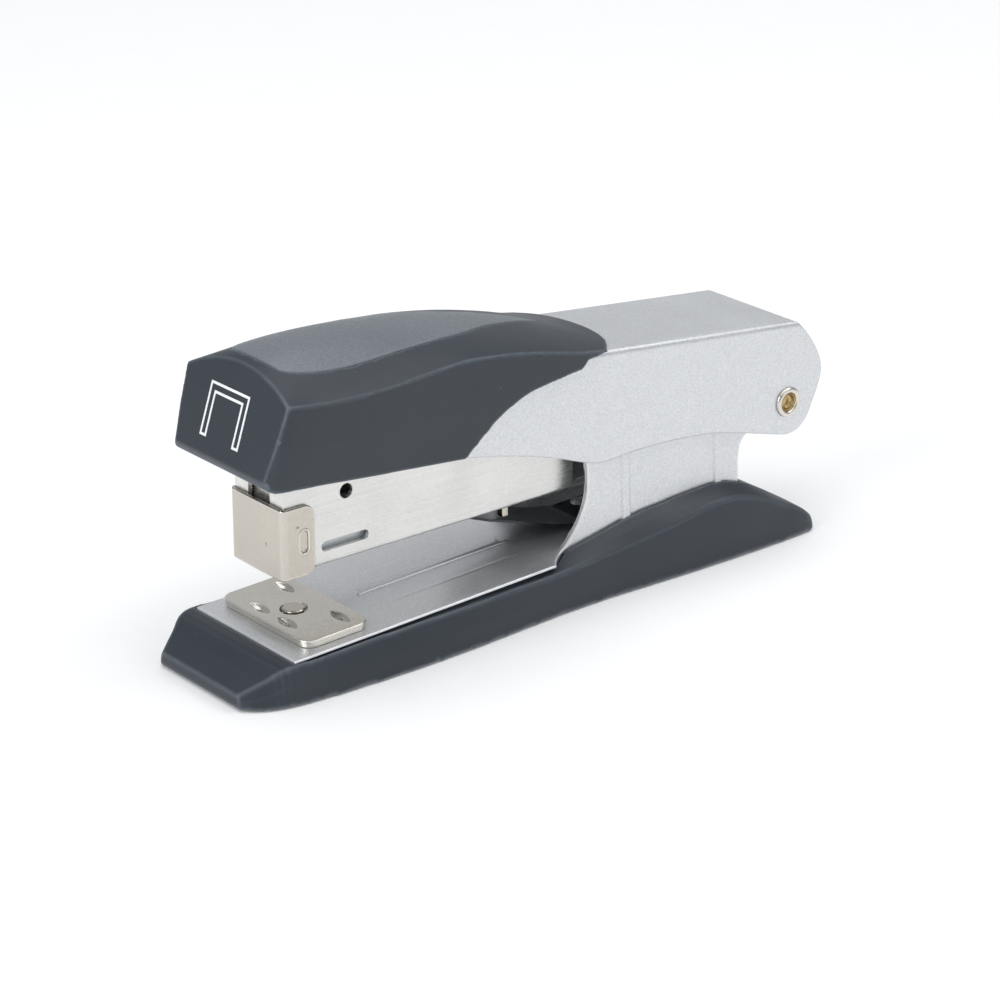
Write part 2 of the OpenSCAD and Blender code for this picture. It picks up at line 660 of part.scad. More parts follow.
sole();
base_cover();
base_plate();
cover_screws();
pivot_rivet();
pivot_spacers();
return_spring();
return_spring_rivets();
anvil_spring();
anvil_button();
anvil_plate();
anvil_backing();
anvil_stud();
magazine();
nose_guard();
staple_rail();
guide_rod();
magazine_bracket();
spring_foot();
follower_spring();
pusher();
handle_channel();
cap();
cap_inlay();
driver_blade();
handle_spring();
driver_rivets();
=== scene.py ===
"""Desk stapler: the detailed visual model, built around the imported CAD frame."""

import json
import math

import bmesh
import bpy
from mathutils import Matrix, Vector
from mathutils.bvhtree import BVHTree


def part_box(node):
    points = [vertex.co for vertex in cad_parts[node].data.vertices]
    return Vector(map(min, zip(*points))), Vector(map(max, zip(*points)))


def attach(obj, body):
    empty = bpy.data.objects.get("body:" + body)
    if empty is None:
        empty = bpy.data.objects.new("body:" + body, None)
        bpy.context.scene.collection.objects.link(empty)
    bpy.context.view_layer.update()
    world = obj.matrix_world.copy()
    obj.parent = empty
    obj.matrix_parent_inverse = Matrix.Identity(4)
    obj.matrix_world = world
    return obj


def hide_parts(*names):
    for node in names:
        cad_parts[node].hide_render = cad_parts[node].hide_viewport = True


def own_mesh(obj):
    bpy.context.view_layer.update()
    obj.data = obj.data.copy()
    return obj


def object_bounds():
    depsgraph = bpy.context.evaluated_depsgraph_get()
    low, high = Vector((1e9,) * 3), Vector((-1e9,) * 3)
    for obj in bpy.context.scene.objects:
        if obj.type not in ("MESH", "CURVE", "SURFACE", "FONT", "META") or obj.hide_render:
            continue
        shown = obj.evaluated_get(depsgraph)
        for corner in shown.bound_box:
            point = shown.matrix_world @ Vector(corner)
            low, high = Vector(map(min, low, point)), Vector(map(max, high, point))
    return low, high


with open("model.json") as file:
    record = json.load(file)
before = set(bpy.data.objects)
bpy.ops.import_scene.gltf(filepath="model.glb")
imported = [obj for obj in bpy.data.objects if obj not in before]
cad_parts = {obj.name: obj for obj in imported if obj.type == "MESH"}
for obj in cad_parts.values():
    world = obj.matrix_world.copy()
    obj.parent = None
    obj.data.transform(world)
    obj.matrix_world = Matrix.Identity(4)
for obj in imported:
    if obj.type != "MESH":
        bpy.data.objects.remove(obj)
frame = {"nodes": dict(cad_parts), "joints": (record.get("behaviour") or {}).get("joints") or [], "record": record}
cad_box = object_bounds()

# Lengths are in millimetres from here on, apart from what Blender takes in metres
MM = 0.001
# Height and tilt of the base plate's top at its front end, and tilt of the handle at rest
PLATE_Z, PLATE_TILT, HANDLE_TILT = 7.84, 2.13, 5.8
BASE_T = 1.2

joints = {j["name"]: j for j in frame["joints"]}
PIVOT = Vector(joints["handle_hinge"]["pos_m"])
BASE_ORIGIN = Vector((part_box("base_plate")[0].x, 0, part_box("base_cover")[0].z))
SCALE = Matrix.Scale(MM, 4)
SCALE[3][3] = 1
IN_BASE = Matrix.Translation(BASE_ORIGIN) @ SCALE
IN_PLATE = (IN_BASE @ Matrix.Translation((0, 0, PLATE_Z))
            @ Matrix.Rotation(math.radians(-PLATE_TILT), 4, "Y"))
IN_HANDLE = Matrix.Translation(PIVOT) @ Matrix.Rotation(math.radians(HANDLE_TILT), 4, "Y") @ SCALE
PIVOT_MM = (PIVOT - BASE_ORIGIN) / MM

# ---- camera ----

AZIMUTH, ELEVATION, DISTANCE = math.radians(-39.18), math.radians(22.14), 0.65
middle = (cad_box[0] + cad_box[1]) / 2
look_at = Vector((middle.x + 0.0002, middle.y + 0.0016, cad_box[0].z + 0.0187))
back = Vector((
    math.sin(AZIMUTH) * math.cos(ELEVATION), -math.cos(AZIMUTH) * math.cos(ELEVATION),
    math.sin(ELEVATION)))
right = Vector((math.cos(AZIMUTH), math.sin(AZIMUTH), 0))
camera_data = bpy.data.cameras.new("camera")
camera_data.lens = 119.88
camera_data.sensor_width = 36
camera = bpy.data.objects.new("camera", camera_data)
bpy.context.scene.collection.objects.link(camera)
above = back.cross(right)
look_at += right * 0.0002 - above * 0.00014
turn = Matrix((right, above, back)).transposed().to_4x4()
camera.matrix_world = Matrix.Translation(look_at + back * DISTANCE) @ turn
bpy.context.scene.camera = camera


# ---- node helpers ----

NOISE_SPREAD = (0.3, 0.7)
ROUGH_SPREAD = 0.05
# Where the painted edge highlight goes: the mesh's pointiness, and how far the shader's bevel turns the normal
POINTED_EDGE = (0.502, 0.535)
BEVELLED_EDGE = (0.995, 0.85)


def link(tree, source, target):
    tree.links.new(source, target)


def ramp(tree, source, low, high, to_low, to_high):
    """source, mapped from low..high to to_low..to_high."""
    made = tree.nodes.new("ShaderNodeMapRange")
    for index, value in enumerate((low, high, to_low, to_high), 1):
        made.inputs[index].default_value = value
    link(tree, source, made.inputs[0])
    return made.outputs[0]


def noise(tree, where, scale, detail=2.0, stretch=None):
    """Noise over the object's own coordinates, in cycles per metre."""
    if stretch:
        mapping = tree.nodes.new("ShaderNodeMapping")
        mapping.inputs["Scale"].default_value = stretch
        link(tree, where, mapping.inputs["Vector"])
        where = mapping.outputs[0]
    made = tree.nodes.new("ShaderNodeTexNoise")
    made.inputs["Scale"].default_value = scale
    made.inputs["Detail"].default_value = detail
    link(tree, where, made.inputs["Vector"])
    return made.outputs["Fac"]


def math_node(tree, operation, a, b):
    made = tree.nodes.new("ShaderNodeMath")
    made.operation = operation
    for index, value in enumerate((a, b)):
        if isinstance(value, (int, float)):
            made.inputs[index].default_value = value
        else:
            link(tree, value, made.inputs[index])
    return made.outputs[0]


def mix_colour(tree, factor, a, b):
    made = tree.nodes.new("ShaderNodeMix")
    made.data_type = "RGBA"
    for socket, value in ((made.inputs[0], factor), (made.inputs[6], a), (made.inputs[7], b)):
        if isinstance(value, (int, float)):
            socket.default_value = value
        elif isinstance(value, tuple):
            socket.default_value = (*value, 1)
        else:
            link(tree, value, socket)
    return made.outputs[2]


def finish(name, colour, metallic, roughness, grain=1500, depth=0.00002, contrast=0.05, cloud=0.04,
           edge=0.00025, edge_highlight_colour=None, edge_highlight_gain=0.5, moulded=False, streaks=None,
           streak_contrast=0.06, flakes=0, flake_contrast=0.0, specks=0, speck_colour=(0.1, 0.08, 0.06),
           speck_limit=0.7):
    """A surface with grain, slow colour variation and a painted highlight along its edges, and where
    asked for brushed streaks, metal flakes or pits. A moulded piece has its round edges in its mesh
    already; on the others the shader softens them."""
    made = bpy.data.materials.new(name)
    made.use_nodes = True
    tree = made.node_tree
    shader = tree.nodes["Principled BSDF"]
    shader.inputs["Metallic"].default_value = metallic
    where = tree.nodes.new("ShaderNodeTexCoord").outputs["Object"]
    slow = noise(tree, where, 70, 3.0)
    fine = noise(tree, where, grain, 2.0)
    light = math_node(tree, "MULTIPLY", ramp(tree, slow, *NOISE_SPREAD, 1 - cloud, 1 + cloud),
                      ramp(tree, fine, *NOISE_SPREAD, 1 - contrast, 1 + contrast))
    height = fine
    rough = ramp(tree, slow, *NOISE_SPREAD, roughness - ROUGH_SPREAD, roughness + ROUGH_SPREAD)
    if streaks:
        lines = noise(tree, where, 1.0, 4.0, stretch=streaks)
        light = math_node(tree, "MULTIPLY", light, ramp(
            tree, lines, *NOISE_SPREAD, 1 - streak_contrast, 1 + streak_contrast))
        rough = math_node(tree, "ADD", rough, ramp(tree, lines, *NOISE_SPREAD, -0.04, 0.04))
        height = math_node(tree, "ADD", math_node(tree, "MULTIPLY", fine, 0.4), lines)
    if flakes:
        cells = tree.nodes.new("ShaderNodeTexVoronoi")
        cells.inputs["Scale"].default_value = flakes
        link(tree, where, cells.inputs["Vector"])
        split = tree.nodes.new("ShaderNodeSeparateColor")
        link(tree, cells.outputs["Color"], split.inputs[0])
        light = math_node(tree, "MULTIPLY", light,
                          ramp(tree, split.outputs[0], 0, 1, 1 - flake_contrast, 1 + flake_contrast))
        rough = math_node(tree, "ADD", rough, ramp(tree, split.outputs[1], 0, 1, -0.08, 0.08))
    scaled = tree.nodes.new("ShaderNodeVectorMath")
    scaled.operation = "SCALE"
    scaled.inputs[0].default_value = colour
    link(tree, light, scaled.inputs["Scale"])
    tint = scaled.outputs[0]
    if specks:
        spots = noise(tree, where, specks, 1.0)
        spotted = ramp(tree, spots, speck_limit, speck_limit + 0.04, 0, 1)
        tint = mix_colour(tree, spotted, tint, speck_colour)
    geometry = tree.nodes.new("ShaderNodeNewGeometry")
    if moulded:
        edge_highlight_mask = ramp(tree, geometry.outputs["Pointiness"], *POINTED_EDGE, 0, edge_highlight_gain)
    else:
        bevel = tree.nodes.new("ShaderNodeBevel")
        bevel.samples = 4
        bevel.inputs["Radius"].default_value = edge
        dot = tree.nodes.new("ShaderNodeVectorMath")
        dot.operation = "DOT_PRODUCT"
        link(tree, bevel.outputs[0], dot.inputs[0])
        link(tree, geometry.outputs["Normal"], dot.inputs[1])
        edge_highlight_mask = ramp(tree, dot.outputs["Value"], *BEVELLED_EDGE, 0, edge_highlight_gain)
    # Painted highlight: edges and creases are lightened towards the edge colour, in patches set by noise
    if edge_highlight_colour:
        highlight_breakup = ramp(tree, noise(tree, where, 400, 3.0), 0.35, 0.6, 0.75, 1)
        tint = mix_colour(tree, math_node(tree, "MULTIPLY", edge_highlight_mask, highlight_breakup), tint, edge_highlight_colour)
    link(tree, tint, shader.inputs["Base Color"])
    link(tree, rough, shader.inputs["Roughness"])
    bump = tree.nodes.new("ShaderNodeBump")
    bump.inputs["Distance"].default_value = depth
    link(tree, height, bump.inputs["Height"])
    if not moulded:
        link(tree, bevel.outputs[0], bump.inputs["Normal"])
    link(tree, bump.outputs[0], shader.inputs["Normal"])
    return made


# Colours are linear; depth and edge are in metres, and grain, flakes and specks in cells per metre
# Each edge colour below is a painted highlight along that material's edges and creases
DARK = finish("dark_plastic", (0.0200, 0.0285, 0.0395), 0, 0.42, moulded=True, grain=2600,
              edge_highlight_colour=(0.11, 0.13, 0.155), edge_highlight_gain=0.9, specks=800,
              speck_colour=(0.055, 0.07, 0.088), speck_limit=0.79)
INLAY = finish("inlay_plastic", (0.148, 0.168, 0.186), 0.08, 0.40, moulded=True, grain=3000,
               depth=0.000001, flakes=3600, flake_contrast=0.12, edge_highlight_colour=(0.2, 0.23, 0.26),
               edge_highlight_gain=0.3)
SILVER_LOOK = dict(grain=2800, depth=0.000005, contrast=0.03, cloud=0.02, flakes=4600,
                   flake_contrast=0.09, edge_highlight_colour=(0.9, 0.91, 0.93))
SILVER_COLOUR = (0.69, 0.70, 0.712)
SILVER = finish("silver_paint", SILVER_COLOUR, 0.75, 0.38, edge=0.0005, **SILVER_LOOK)
SILVER_PRESSED = finish("silver_paint_pressed", SILVER_COLOUR, 0.75, 0.38, moulded=True, **SILVER_LOOK)
ZINC = finish("zinc_steel", (0.71, 0.705, 0.685), 0.85, 0.27, grain=1200, depth=0.000006, contrast=0.02,
              cloud=0.09, streaks=(30, 1200, 1500), streak_contrast=0.045,
              edge_highlight_colour=(0.9, 0.9, 0.88), edge_highlight_gain=0.3)
NICKEL_LOOK = dict(grain=1400, depth=0.000012, contrast=0.03, cloud=0.06, specks=420, speck_limit=0.74,
                   speck_colour=(0.28, 0.25, 0.21), edge_highlight_colour=(0.93, 0.9, 0.84))
NICKEL = finish("nickel", (0.58, 0.54, 0.475), 1, 0.24, **NICKEL_LOOK)
NICKEL_PRESSED = finish("nickel_pressed", (0.545, 0.505, 0.45), 1, 0.23, moulded=True, **NICKEL_LOOK)
# Painted light: the anvil's nickel is a lighter copy of the pressed nickel, standing in for the light on its
# upturned top
NICKEL_ANVIL_LIGHTENED = finish("nickel_anvil_lightened", (0.67, 0.64, 0.575), 1, 0.2, moulded=True, **NICKEL_LOOK)
BRACKET = finish("bracket_steel", (0.45, 0.47, 0.50), 1, 0.36, depth=0.00001,
                 streaks=(60, 900, 900), streak_contrast=0.08)
LEAF = finish("spring_steel", (0.055, 0.058, 0.066), 0.9, 0.32, grain=1800, depth=0.00001, cloud=0.1,
              edge_highlight_colour=(0.3, 0.3, 0.32), edge_highlight_gain=0.6)
WIRE = finish("spring_wire", (0.46, 0.46, 0.45), 1, 0.28, grain=2500, depth=0.000005, edge=0.00005)
RUBBER = finish("sole_rubber", (0.028, 0.029, 0.031), 0, 0.75, depth=0.00008, contrast=0.12)
# Painted light: the staple rail's steel is painted far lighter than bare steel, so the shaded rail looks lit
# through the magazine's sight slot
LIGHTENED_RAIL = finish("rail_steel_lightened", (0.90, 0.94, 0.96), 0.15, 0.38, depth=0.00001, streaks=(60, 900, 900))
PUSHER = finish("pusher_steel", (0.11, 0.125, 0.14), 0.9, 0.34, grain=1600, depth=0.00001,
                streaks=(80, 700, 700))
PRINT = finish("white_print", (0.86, 0.87, 0.88), 0, 0.5, grain=4000, depth=0.000004, contrast=0.04,
               edge=0.00002)
BRASS = finish("brass", (0.50, 0.38, 0.19), 1, 0.3, depth=0.00001, cloud=0.15)
FLOOR = finish("floor", (0.93, 0.93, 0.93), 0, 0.8, grain=300, depth=0.00001, contrast=0.002,
               cloud=0.002, edge=0.00001)
SLOTS = {
    "dark_plastic": DARK, "inlay_plastic": INLAY, "silver_paint": SILVER, "zinc_steel": ZINC,
    "nickel": NICKEL, "bracket_steel": BRACKET, "spring_steel": LEAF, "spring_wire": WIRE,
    "sole_rubber": RUBBER, "pusher_steel": PUSHER,
}


# ---- mesh helpers: solids are (points, faces) in millimetres ----

def bend(a, b, c, d, t):
    """Point at t from b to c on a Catmull-Rom curve."""
    return tuple(0.5 * (2 * q + (r - p) * t + (2 * p - 5 * q + 4 * r - s) * t ** 2
                        + (3 * q - p - 3 * r + s) * t ** 3)
                 for p, q, r, s in zip(a, b, c, d))


def curve(rows, steps):
    """Smooth curve through the rows, with that many steps from each row to the next."""
    last = len(rows) - 1
    out = [bend(rows[max(i - 1, 0)], rows[i], rows[i + 1], rows[min(i + 2, last)], k / steps)
           for i in range(last) for k in range(steps)]
    return out + [tuple(rows[-1])]


def loft(rings):
    """Solid through rings of equally many points, with its ends closed."""
    n = len(rings[0])
    points = [p for ring in rings for p in ring]
    faces = [list(range(n)), [(len(rings) - 1) * n + i for i in reversed(range(n))]]
    faces += [[j * n + i, (j + 1) * n + i, (j + 1) * n + (i + 1) % n, j * n + (i + 1) % n]
              for j in range(len(rings) - 1) for i in range(n)]
    return points, faces


def prism_xz(outline, y0, y1):
    return loft([[(x, y, z) for x, z in outline] for y in (y0, y1)])


def prism_xy(outline, z0, z1):
    return loft([[(x, y, z) for x, y in outline] for z in (z0, z1)])


def block(x0, x1, y0, y1, z0, z1):
    return prism_xy([(x0, y0), (x1, y0), (x1, y1), (x0, y1)], z0, z1)


def across(side, near, far):
    """Y of near and far on one side of the middle, lower first."""
    return sorted((side * near, side * far))


def arc(cx, cy, r, start, end, n=8):
    angles = [math.radians(start + (end - start) * k / n) for k in range(n + 1)]
    return [(cx + r * math.cos(a), cy + r * math.sin(a)) for a in angles]


def circle(cx, cy, r, n=64):
    angles = [2 * math.pi * i / n for i in range(n)]
    return [(cx + r * math.cos(a), cy + r * math.sin(a)) for a in angles]


def turned(profile, place, axis="Z", n=64):
    """Solid of revolution of profile, (radius, height) pairs, about an axis through place."""
    rings = []
    for r, h in profile:
        ring = []
        for i in range(n):
            u, v = r * math.cos(2 * math.pi * i / n), r * math.sin(2 * math.pi * i / n)
            ring.append({"Z": (place[0] + u, place[1] + v, place[2] + h),
                         "Y": (place[0] + u, place[1] + h, place[2] + v)}[axis])
        rings.append(ring)
    return loft(rings)


def both_sides(half):
    """Closed outline from its half on the positive side of Y."""
    return list(half) + [(x, -y) for x, y in reversed(half)]


def lowered(solid, depth):
    points, faces = solid
    return [(x, y, z - depth) for x, y, z in points], faces


def build(name, solids, place):
    """One object holding the solids, with its points in metres in the row frame."""
    mesh = bpy.data.meshes.new(name)
    points, faces = [], []
    for solid_points, solid_faces in solids:
        faces += [[len(points) + i for i in face] for face in solid_faces]
        points += [tuple(place @ Vector(p)) for p in solid_points]
    mesh.from_pydata(points, [], faces)
    shape = bmesh.new()
    shape.from_mesh(mesh)
    bmesh.ops.recalc_face_normals(shape, faces=shape.faces)
    shape.to_mesh(mesh)
    shape.free()
    made = bpy.data.objects.new(name, mesh)
    bpy.context.scene.collection.objects.link(made)
    return made


def apply_modifiers(piece):
    bpy.context.view_layer.update()
    graph = bpy.context.evaluated_depsgraph_get()
    mesh = bpy.data.meshes.new_from_object(piece.evaluated_get(graph))
    piece.modifiers.clear()
    piece.data = mesh


def combine(piece, tool, operation):
    """Applies the tool object to the piece, and removes the tool."""
    change = piece.modifiers.new("boolean", "BOOLEAN")
    change.operation = operation
    change.solver = "EXACT"
    change.object = tool
    apply_modifiers(piece)
    bpy.data.objects.remove(tool)


def boolean(piece, solids, place, operation="DIFFERENCE"):
    """Cuts each solid from the piece in turn, or joins or intersects it."""
    for solid in solids:
        combine(piece, build("tool", [solid], place), operation)


def soften(piece, voxel, rounds, place):
    """Even small faces with the edges rounded, as moulding or pressing leaves them. Solids that
    overlap join. The faces line up with the axes of place, which most of the edges follow."""
    piece.data.transform(place.inverted())
    remesh = piece.modifiers.new("remesh", "REMESH")
    remesh.mode = "VOXEL"
    remesh.voxel_size = voxel
    smooth = piece.modifiers.new("smooth", "SMOOTH")
    smooth.factor = 0.5
    smooth.iterations = rounds
    apply_modifiers(piece)
    piece.data.transform(place)
    piece.data.shade_smooth()


def place_piece(piece, material, body, nodes=()):
    """Gives the piece its material and the body it rides on, and hides the CAD nodes it stands for."""
    piece.data.materials.clear()
    piece.data.materials.append(material)
    if nodes:
        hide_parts(*nodes)
    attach(piece, body)


# ---- cap and its inlay ----

# From front to rear: x, half width and height of the lower edge, half width and height
# of the crease, height of the crown, lean of the section
CAP_ROWS = [
    (-128.9, 13.9, 1.7, 15.8, 16.1, 20.2, 0.222), (-127.8, 14.7, 0.5, 15.85, 16.1, 20.8, 0.215),
    (-126, 15, -0.1, 15.95, 16.05, 21.5, 0.2), (-122, 14.75, -0.2, 16.1, 15.95, 22.6, 0.16),
    (-117, 14.5, -0.2, 16.3, 16.1, 23.4, 0.11), (-110, 14.4, -0.2, 16.4, 16.65, 23.95, 0.06),
    (-103, 14.3, -0.2, 16.4, 17.5, 24.15, 0.02), (-96, 14.1, -0.2, 16.3, 18.7, 24.1, 0),
    (-88, 14, -0.2, 16.1, 19.9, 23.7, 0), (-80, 14, -0.2, 15.9, 20.05, 23.1, 0),
    (-72, 14, -0.2, 15.7, 19.6, 22.4, 0), (-64, 14, -0.2, 15.4, 18.65, 21.3, 0),
    (-58, 14, -0.2, 15, 17.85, 20.1, 0), (-52, 14, -0.2, 14.4, 17.35, 18.9, 0),
    (-44, 13.8, -0.2, 14, 17.1, 17.5, 0),
]
# Half width and top of the handle's channel, and half width of the hollow that it fills
HANDLE_OUT, HANDLE_TOP = 13.35, 16.85
HOLLOW_OUT = HANDLE_OUT + 0.05
CROWN_STEPS = 14
# Height at which a leaning section stands at its own x
LEAN_Z = 8.9


def cap_ring(row, inset=0.0, steps=CROWN_STEPS):
    """Cross-section of the cap, or of its hollow where it is drawn in by inset."""
    x, foot, foot_z, crease, crease_z, crown_z, lean = row
    rise = crown_z - crease_z - 0.7 * inset
    if inset:
        foot = HOLLOW_OUT
    foot_z -= inset
    crease -= inset
    crease_z -= 0.3 * inset
    half = [(foot, foot_z), ((foot + crease) / 2 + 0.25, (foot_z + crease_z) / 2)]
    half += [(crease * (1 - k / steps), crease_z + rise * (1 - (1 - k / steps) ** 2))
             for k in range(steps)]
    ring = half + [(0, crease_z + rise)] + [(-y, z) for y, z in reversed(half)]
    return [(x + lean * (z - LEAN_Z), y, z) for y, z in ring]


# Half outline of the inlay from above, cut-away of the cap's sides, and half outline of its rear
INLAY_SIDE = (
    curve([(-124.4, 0.01), (-124.1, 4), (-123, 8), (-119, 10.1), (-112.8, 10.9), (-106, 10.8),
           (-97.8, 10.1)], 6)
    + curve([(-89.2, 9.1), (-82.6, 7.8), (-75.2, 5.3), (-69.8, 3.8), (-64, 2.1), (-56.7, 0.01)], 6))
CAP_SIDE_CUT = (
    [(-84.4, -12), (-84.2, -0.4)]
    + curve([(-84, -0.2), (-82.3, 1.8), (-78.8, 5.7), (-76.2, 8.1), (-71.3, 11.05), (-65.7, 12.65),
             (-57.6, 14.3)], 5)
    + [(-56.6, 15.3), (-56, 16), (-53.5, 16.3), (-51.5, HANDLE_TOP), (-30, HANDLE_TOP), (-30, -12)])
CAP_REAR = [(-140, 30), (-51, 30), (-51, 13.8), (-49.3, 12), (-47.6, 9.5), (-46.2, 6), (-45.5, 2.5),
            (-45.4, 0.01)]
CAP_WALL, POCKET_DEPTH = 1.7, 1.0
# The inlay runs over the pocket's edge by this much
OVERLAP = 0.03


def drawn_in(outline, d):
    """Half outline moved inwards by d."""
    out = []
    for i, (x, y) in enumerate(outline):
        a, b = outline[max(i - 1, 0)], outline[min(i + 1, len(outline) - 1)]
        along = Vector((b[0] - a[0], b[1] - a[1])).normalized()
        out.append((x + along.y * d, max(y - along.x * d, 0.01)))
    return out


cap_solid = loft([cap_ring(r) for r in curve(CAP_ROWS, 5)])
cap = build("cap_shell", [cap_solid], IN_HANDLE)
boolean(cap, [prism_xy(both_sides(CAP_REAR), -20, 40)], IN_HANDLE, "INTERSECT")
inner_rows = [r for r in CAP_ROWS if -127 < r[0] < -57]
boolean(cap, [
    loft([cap_ring(r, CAP_WALL) for r in curve(inner_rows, 4)]),
    block(-122.6, -30, -HOLLOW_OUT, HOLLOW_OUT, -12, HANDLE_TOP),
    prism_xz(CAP_SIDE_CUT, -30, 30),
], IN_HANDLE)
pocket = build("pocket", [prism_xy(both_sides(INLAY_SIDE), -10, 60)], IN_HANDLE)
boolean(pocket, [lowered(cap_solid, POCKET_DEPTH)], IN_HANDLE)
combine(cap, pocket, "DIFFERENCE")
soften(cap, 0.26, 6, IN_HANDLE)
place_piece(cap, DARK, "handle", ["cap"])

crown_points, crown_faces = loft([cap_ring(r, steps=40) for r in curve(CAP_ROWS, 12)])
crown = BVHTree.FromPolygons([Vector(p) for p in crown_points], crown_faces)
INLAY_MIDDLE, INLAY_DEPTH, INLAY_ROUND, INLAY_PROUD = -100, 0.95, 0.3, 0.13
INLAY_RINGS, EDGE_STEPS = 30, 5


def on_crown(x, y, up):
    """Point at x and y, that far above the crown."""
    return (x, y, crown.ray_cast(Vector((x, y, 60)), Vector((0, 0, -1)))[0].z + up)


# Rings from the foot of the inlay's wall over its rounded edge to its middle
inlay_rings = [[on_crown(x, y, -INLAY_DEPTH) for x, y in both_sides(drawn_in(INLAY_SIDE, -OVERLAP))]]
for k in range(EDGE_STEPS + 1):
    angle = math.pi / 2 * k / EDGE_STEPS
    edge_in, edge_down = INLAY_ROUND * (1 - math.cos(angle)), INLAY_ROUND * (1 - math.sin(angle))
    inlay_rings.append([on_crown(x, y, INLAY_PROUD - edge_down)
                        for x, y in both_sides(drawn_in(INLAY_SIDE, edge_in - OVERLAP))])
rim = both_sides(drawn_in(INLAY_SIDE, INLAY_ROUND - OVERLAP))
for k in range(1, INLAY_RINGS):
    share = 1 - k / INLAY_RINGS
    inlay_rings.append([on_crown(INLAY_MIDDLE + (x - INLAY_MIDDLE) * share, y * share, INLAY_PROUD)
                        for x, y in rim])
inlay = build("inlay_panel", [loft(inlay_rings)], IN_HANDLE)
inlay.data.shade_smooth()
place_piece(inlay, INLAY, "handle", ["cap_inlay"])

# ---- base cover ----

# From front to rear: x, half width at the foot, half width and height at the crease,
# height beside the uprights
COVER_ROWS = [
    (-10.5, 12.7, 12.3, 2.8, 2.8), (-9.2, 14.2, 13.1, 3.55, 3.55), (-6.3, 16.2, 14.8, 5.2, 5.2),
    (-2.2, 17.6, 16.9, 7.5, 7.5), (6, 18.5, 17, 7.55, 7.55), (16, 18.9, 17, 7.9, 7.9),
    (28, 19, 17, 8.1, 8.1), (40, 18.6, 16.9, 8.1, 8.6), (52, 17.75, 16.5, 8.25, 9),
    (62, 17.1, 16.3, 8.35, 9.5), (68.2, 16.9, 16.2, 8.75, 10.9), (75.8, 16.8, 16.1, 9.4, 12.3),
    (83, 17.1, 16.2, 10.1, 13.7), (92, 17.4, 16.4, 11.2, 14.5), (102, 17.6, 16.6, 12.8, 15.1),
    (108, 17.65, 16.7, 12.8, 14.9), (113.4, 17.6, 16.7, 11.6, 13.4), (118, 17.5, 16.6, 9.8, 11.1),
    (122, 17.4, 16.5, 7.9, 8.8), (127, 17.2, 16.3, 5.5, 5.7), (130.3, 16.6, 15.8, 3, 3.1),
    (131.6, 14.6, 14, 1.9, 2),
]
# Half widths over the uprights and of the plate, and the cover screws at x and y
UPRIGHT_OUT = 12.1
PLATE_HALF = 16
SCREWS = [(46, -9), (46, 9), (103, -7), (103, 7)]


def cover_ring(row):
    """Cross-section of the cover."""
    x, foot, crease, crease_z, deck = row
    inner = min(UPRIGHT_OUT + 0.55, crease - 1)
    half = [
        (foot, 0), ((foot + crease) / 2 + 0.15, crease_z / 2), (crease + 0.1, crease_z - 0.5),
        (crease - 0.3, crease_z), ((crease + inner) / 2, (crease_z + deck) / 2), (inner, deck)]
    return [(x, y, z) for y, z in half + [(-y, z) for y, z in reversed(half)]]


def footprint(d):
    """Outline of the cover's foot, drawn in by d."""
    (front, front_half), (rear, rear_half) = COVER_ROWS[0][:2], COVER_ROWS[-1][:2]
    rows = [(r[0], r[1] - d) for r in curve(COVER_ROWS, 2) if front + d < r[0] < rear - d]
    return both_sides([(front + d, front_half - d)] + rows + [(rear - d, rear_half - d)])


cover = build("base_shell", [loft([cover_ring(r) for r in curve(COVER_ROWS, 4)])], IN_BASE)
boolean(cover, [prism_xy(footprint(1.5), -1, 1.2)], IN_BASE)
plate_well = both_sides([
    (-0.05, PLATE_HALF + 0.3), (62.3, PLATE_HALF + 0.3), (63.5, 14.7), (65, 13.4),
    (67.5, UPRIGHT_OUT + 0.36), (113.7, UPRIGHT_OUT + 0.36)])
boolean(cover, [
    prism_xy(plate_well, -BASE_T, 20),
    block(-3, 115, -14.5, 14.5, -12, -BASE_T - 1.5),
    block(4, 30, -7.5, 7.5, -BASE_T - 2.5, 0.5),
] + [prism_xy(circle(x, y, 1.3), -BASE_T - 2.5, 1) for x, y in SCREWS], IN_PLATE)
soften(cover, 0.3, 5, IN_PLATE)
place_piece(cover, DARK, "base", ["base_cover"])

# ---- base plate with its uprights ----

# Middle of the anvil's stud
ANVIL_X = 11.3
PLATE_SIDE = (
    [(0, PLATE_HALF), (62.1, PLATE_HALF)]
    + curve([(62.2, PLATE_HALF - 0.3), (63.3, 14.4), (64.8, 13.1), (67.2, UPRIGHT_OUT - 0.5)], 5)
    + [(113.4, UPRIGHT_OUT - 0.5)])
UPRIGHT_SIDE = (
    [(65.2, 9.7), (66, 10)]
    + curve([(66.4, 10.5), (67.7, 11.6), (69.4, 13.5), (71.4, 16.3), (72.8, 20), (73.1, 24),
             (72.7, 27.8)], 5)
    + curve([(72.6, 31), (74, 34), (78, 35.4), (90, 35.6)], 5)
    + [(PIVOT_MM.x - 2.6, PIVOT_MM.z + 6), (PIVOT_MM.x, PIVOT_MM.z),
       (PIVOT_MM.x - 2.6, PIVOT_MM.z - 6)]
    + curve([(118.5, 22.7), (115.6, 23.3), (113.8, 22), (113.1, 19.6), (113.1, 16), (113.3, 11.2)], 5))
AT_PIVOT = (PIVOT_MM.x, 0, PIVOT_MM.z)
EAR_R = 6.5
# Ribs of the uprights: x and width
RIBS = [(83.2, 3.0), (107.5, 2.8)]
# Rivets of the return spring, and the thickness of the plate's rim, which shows a gap below it
SPRING_RIVET_X, SPRING_RIVETS_Y = 84, (-3.2, 3.2)
RIM_T = 0.42


def to_base(solid):
    """A solid drawn on the plate, in the base's frame."""
    change = IN_BASE.inverted() @ IN_PLATE
    points, faces = solid
    return [tuple(change @ Vector(p)) for p in points], faces


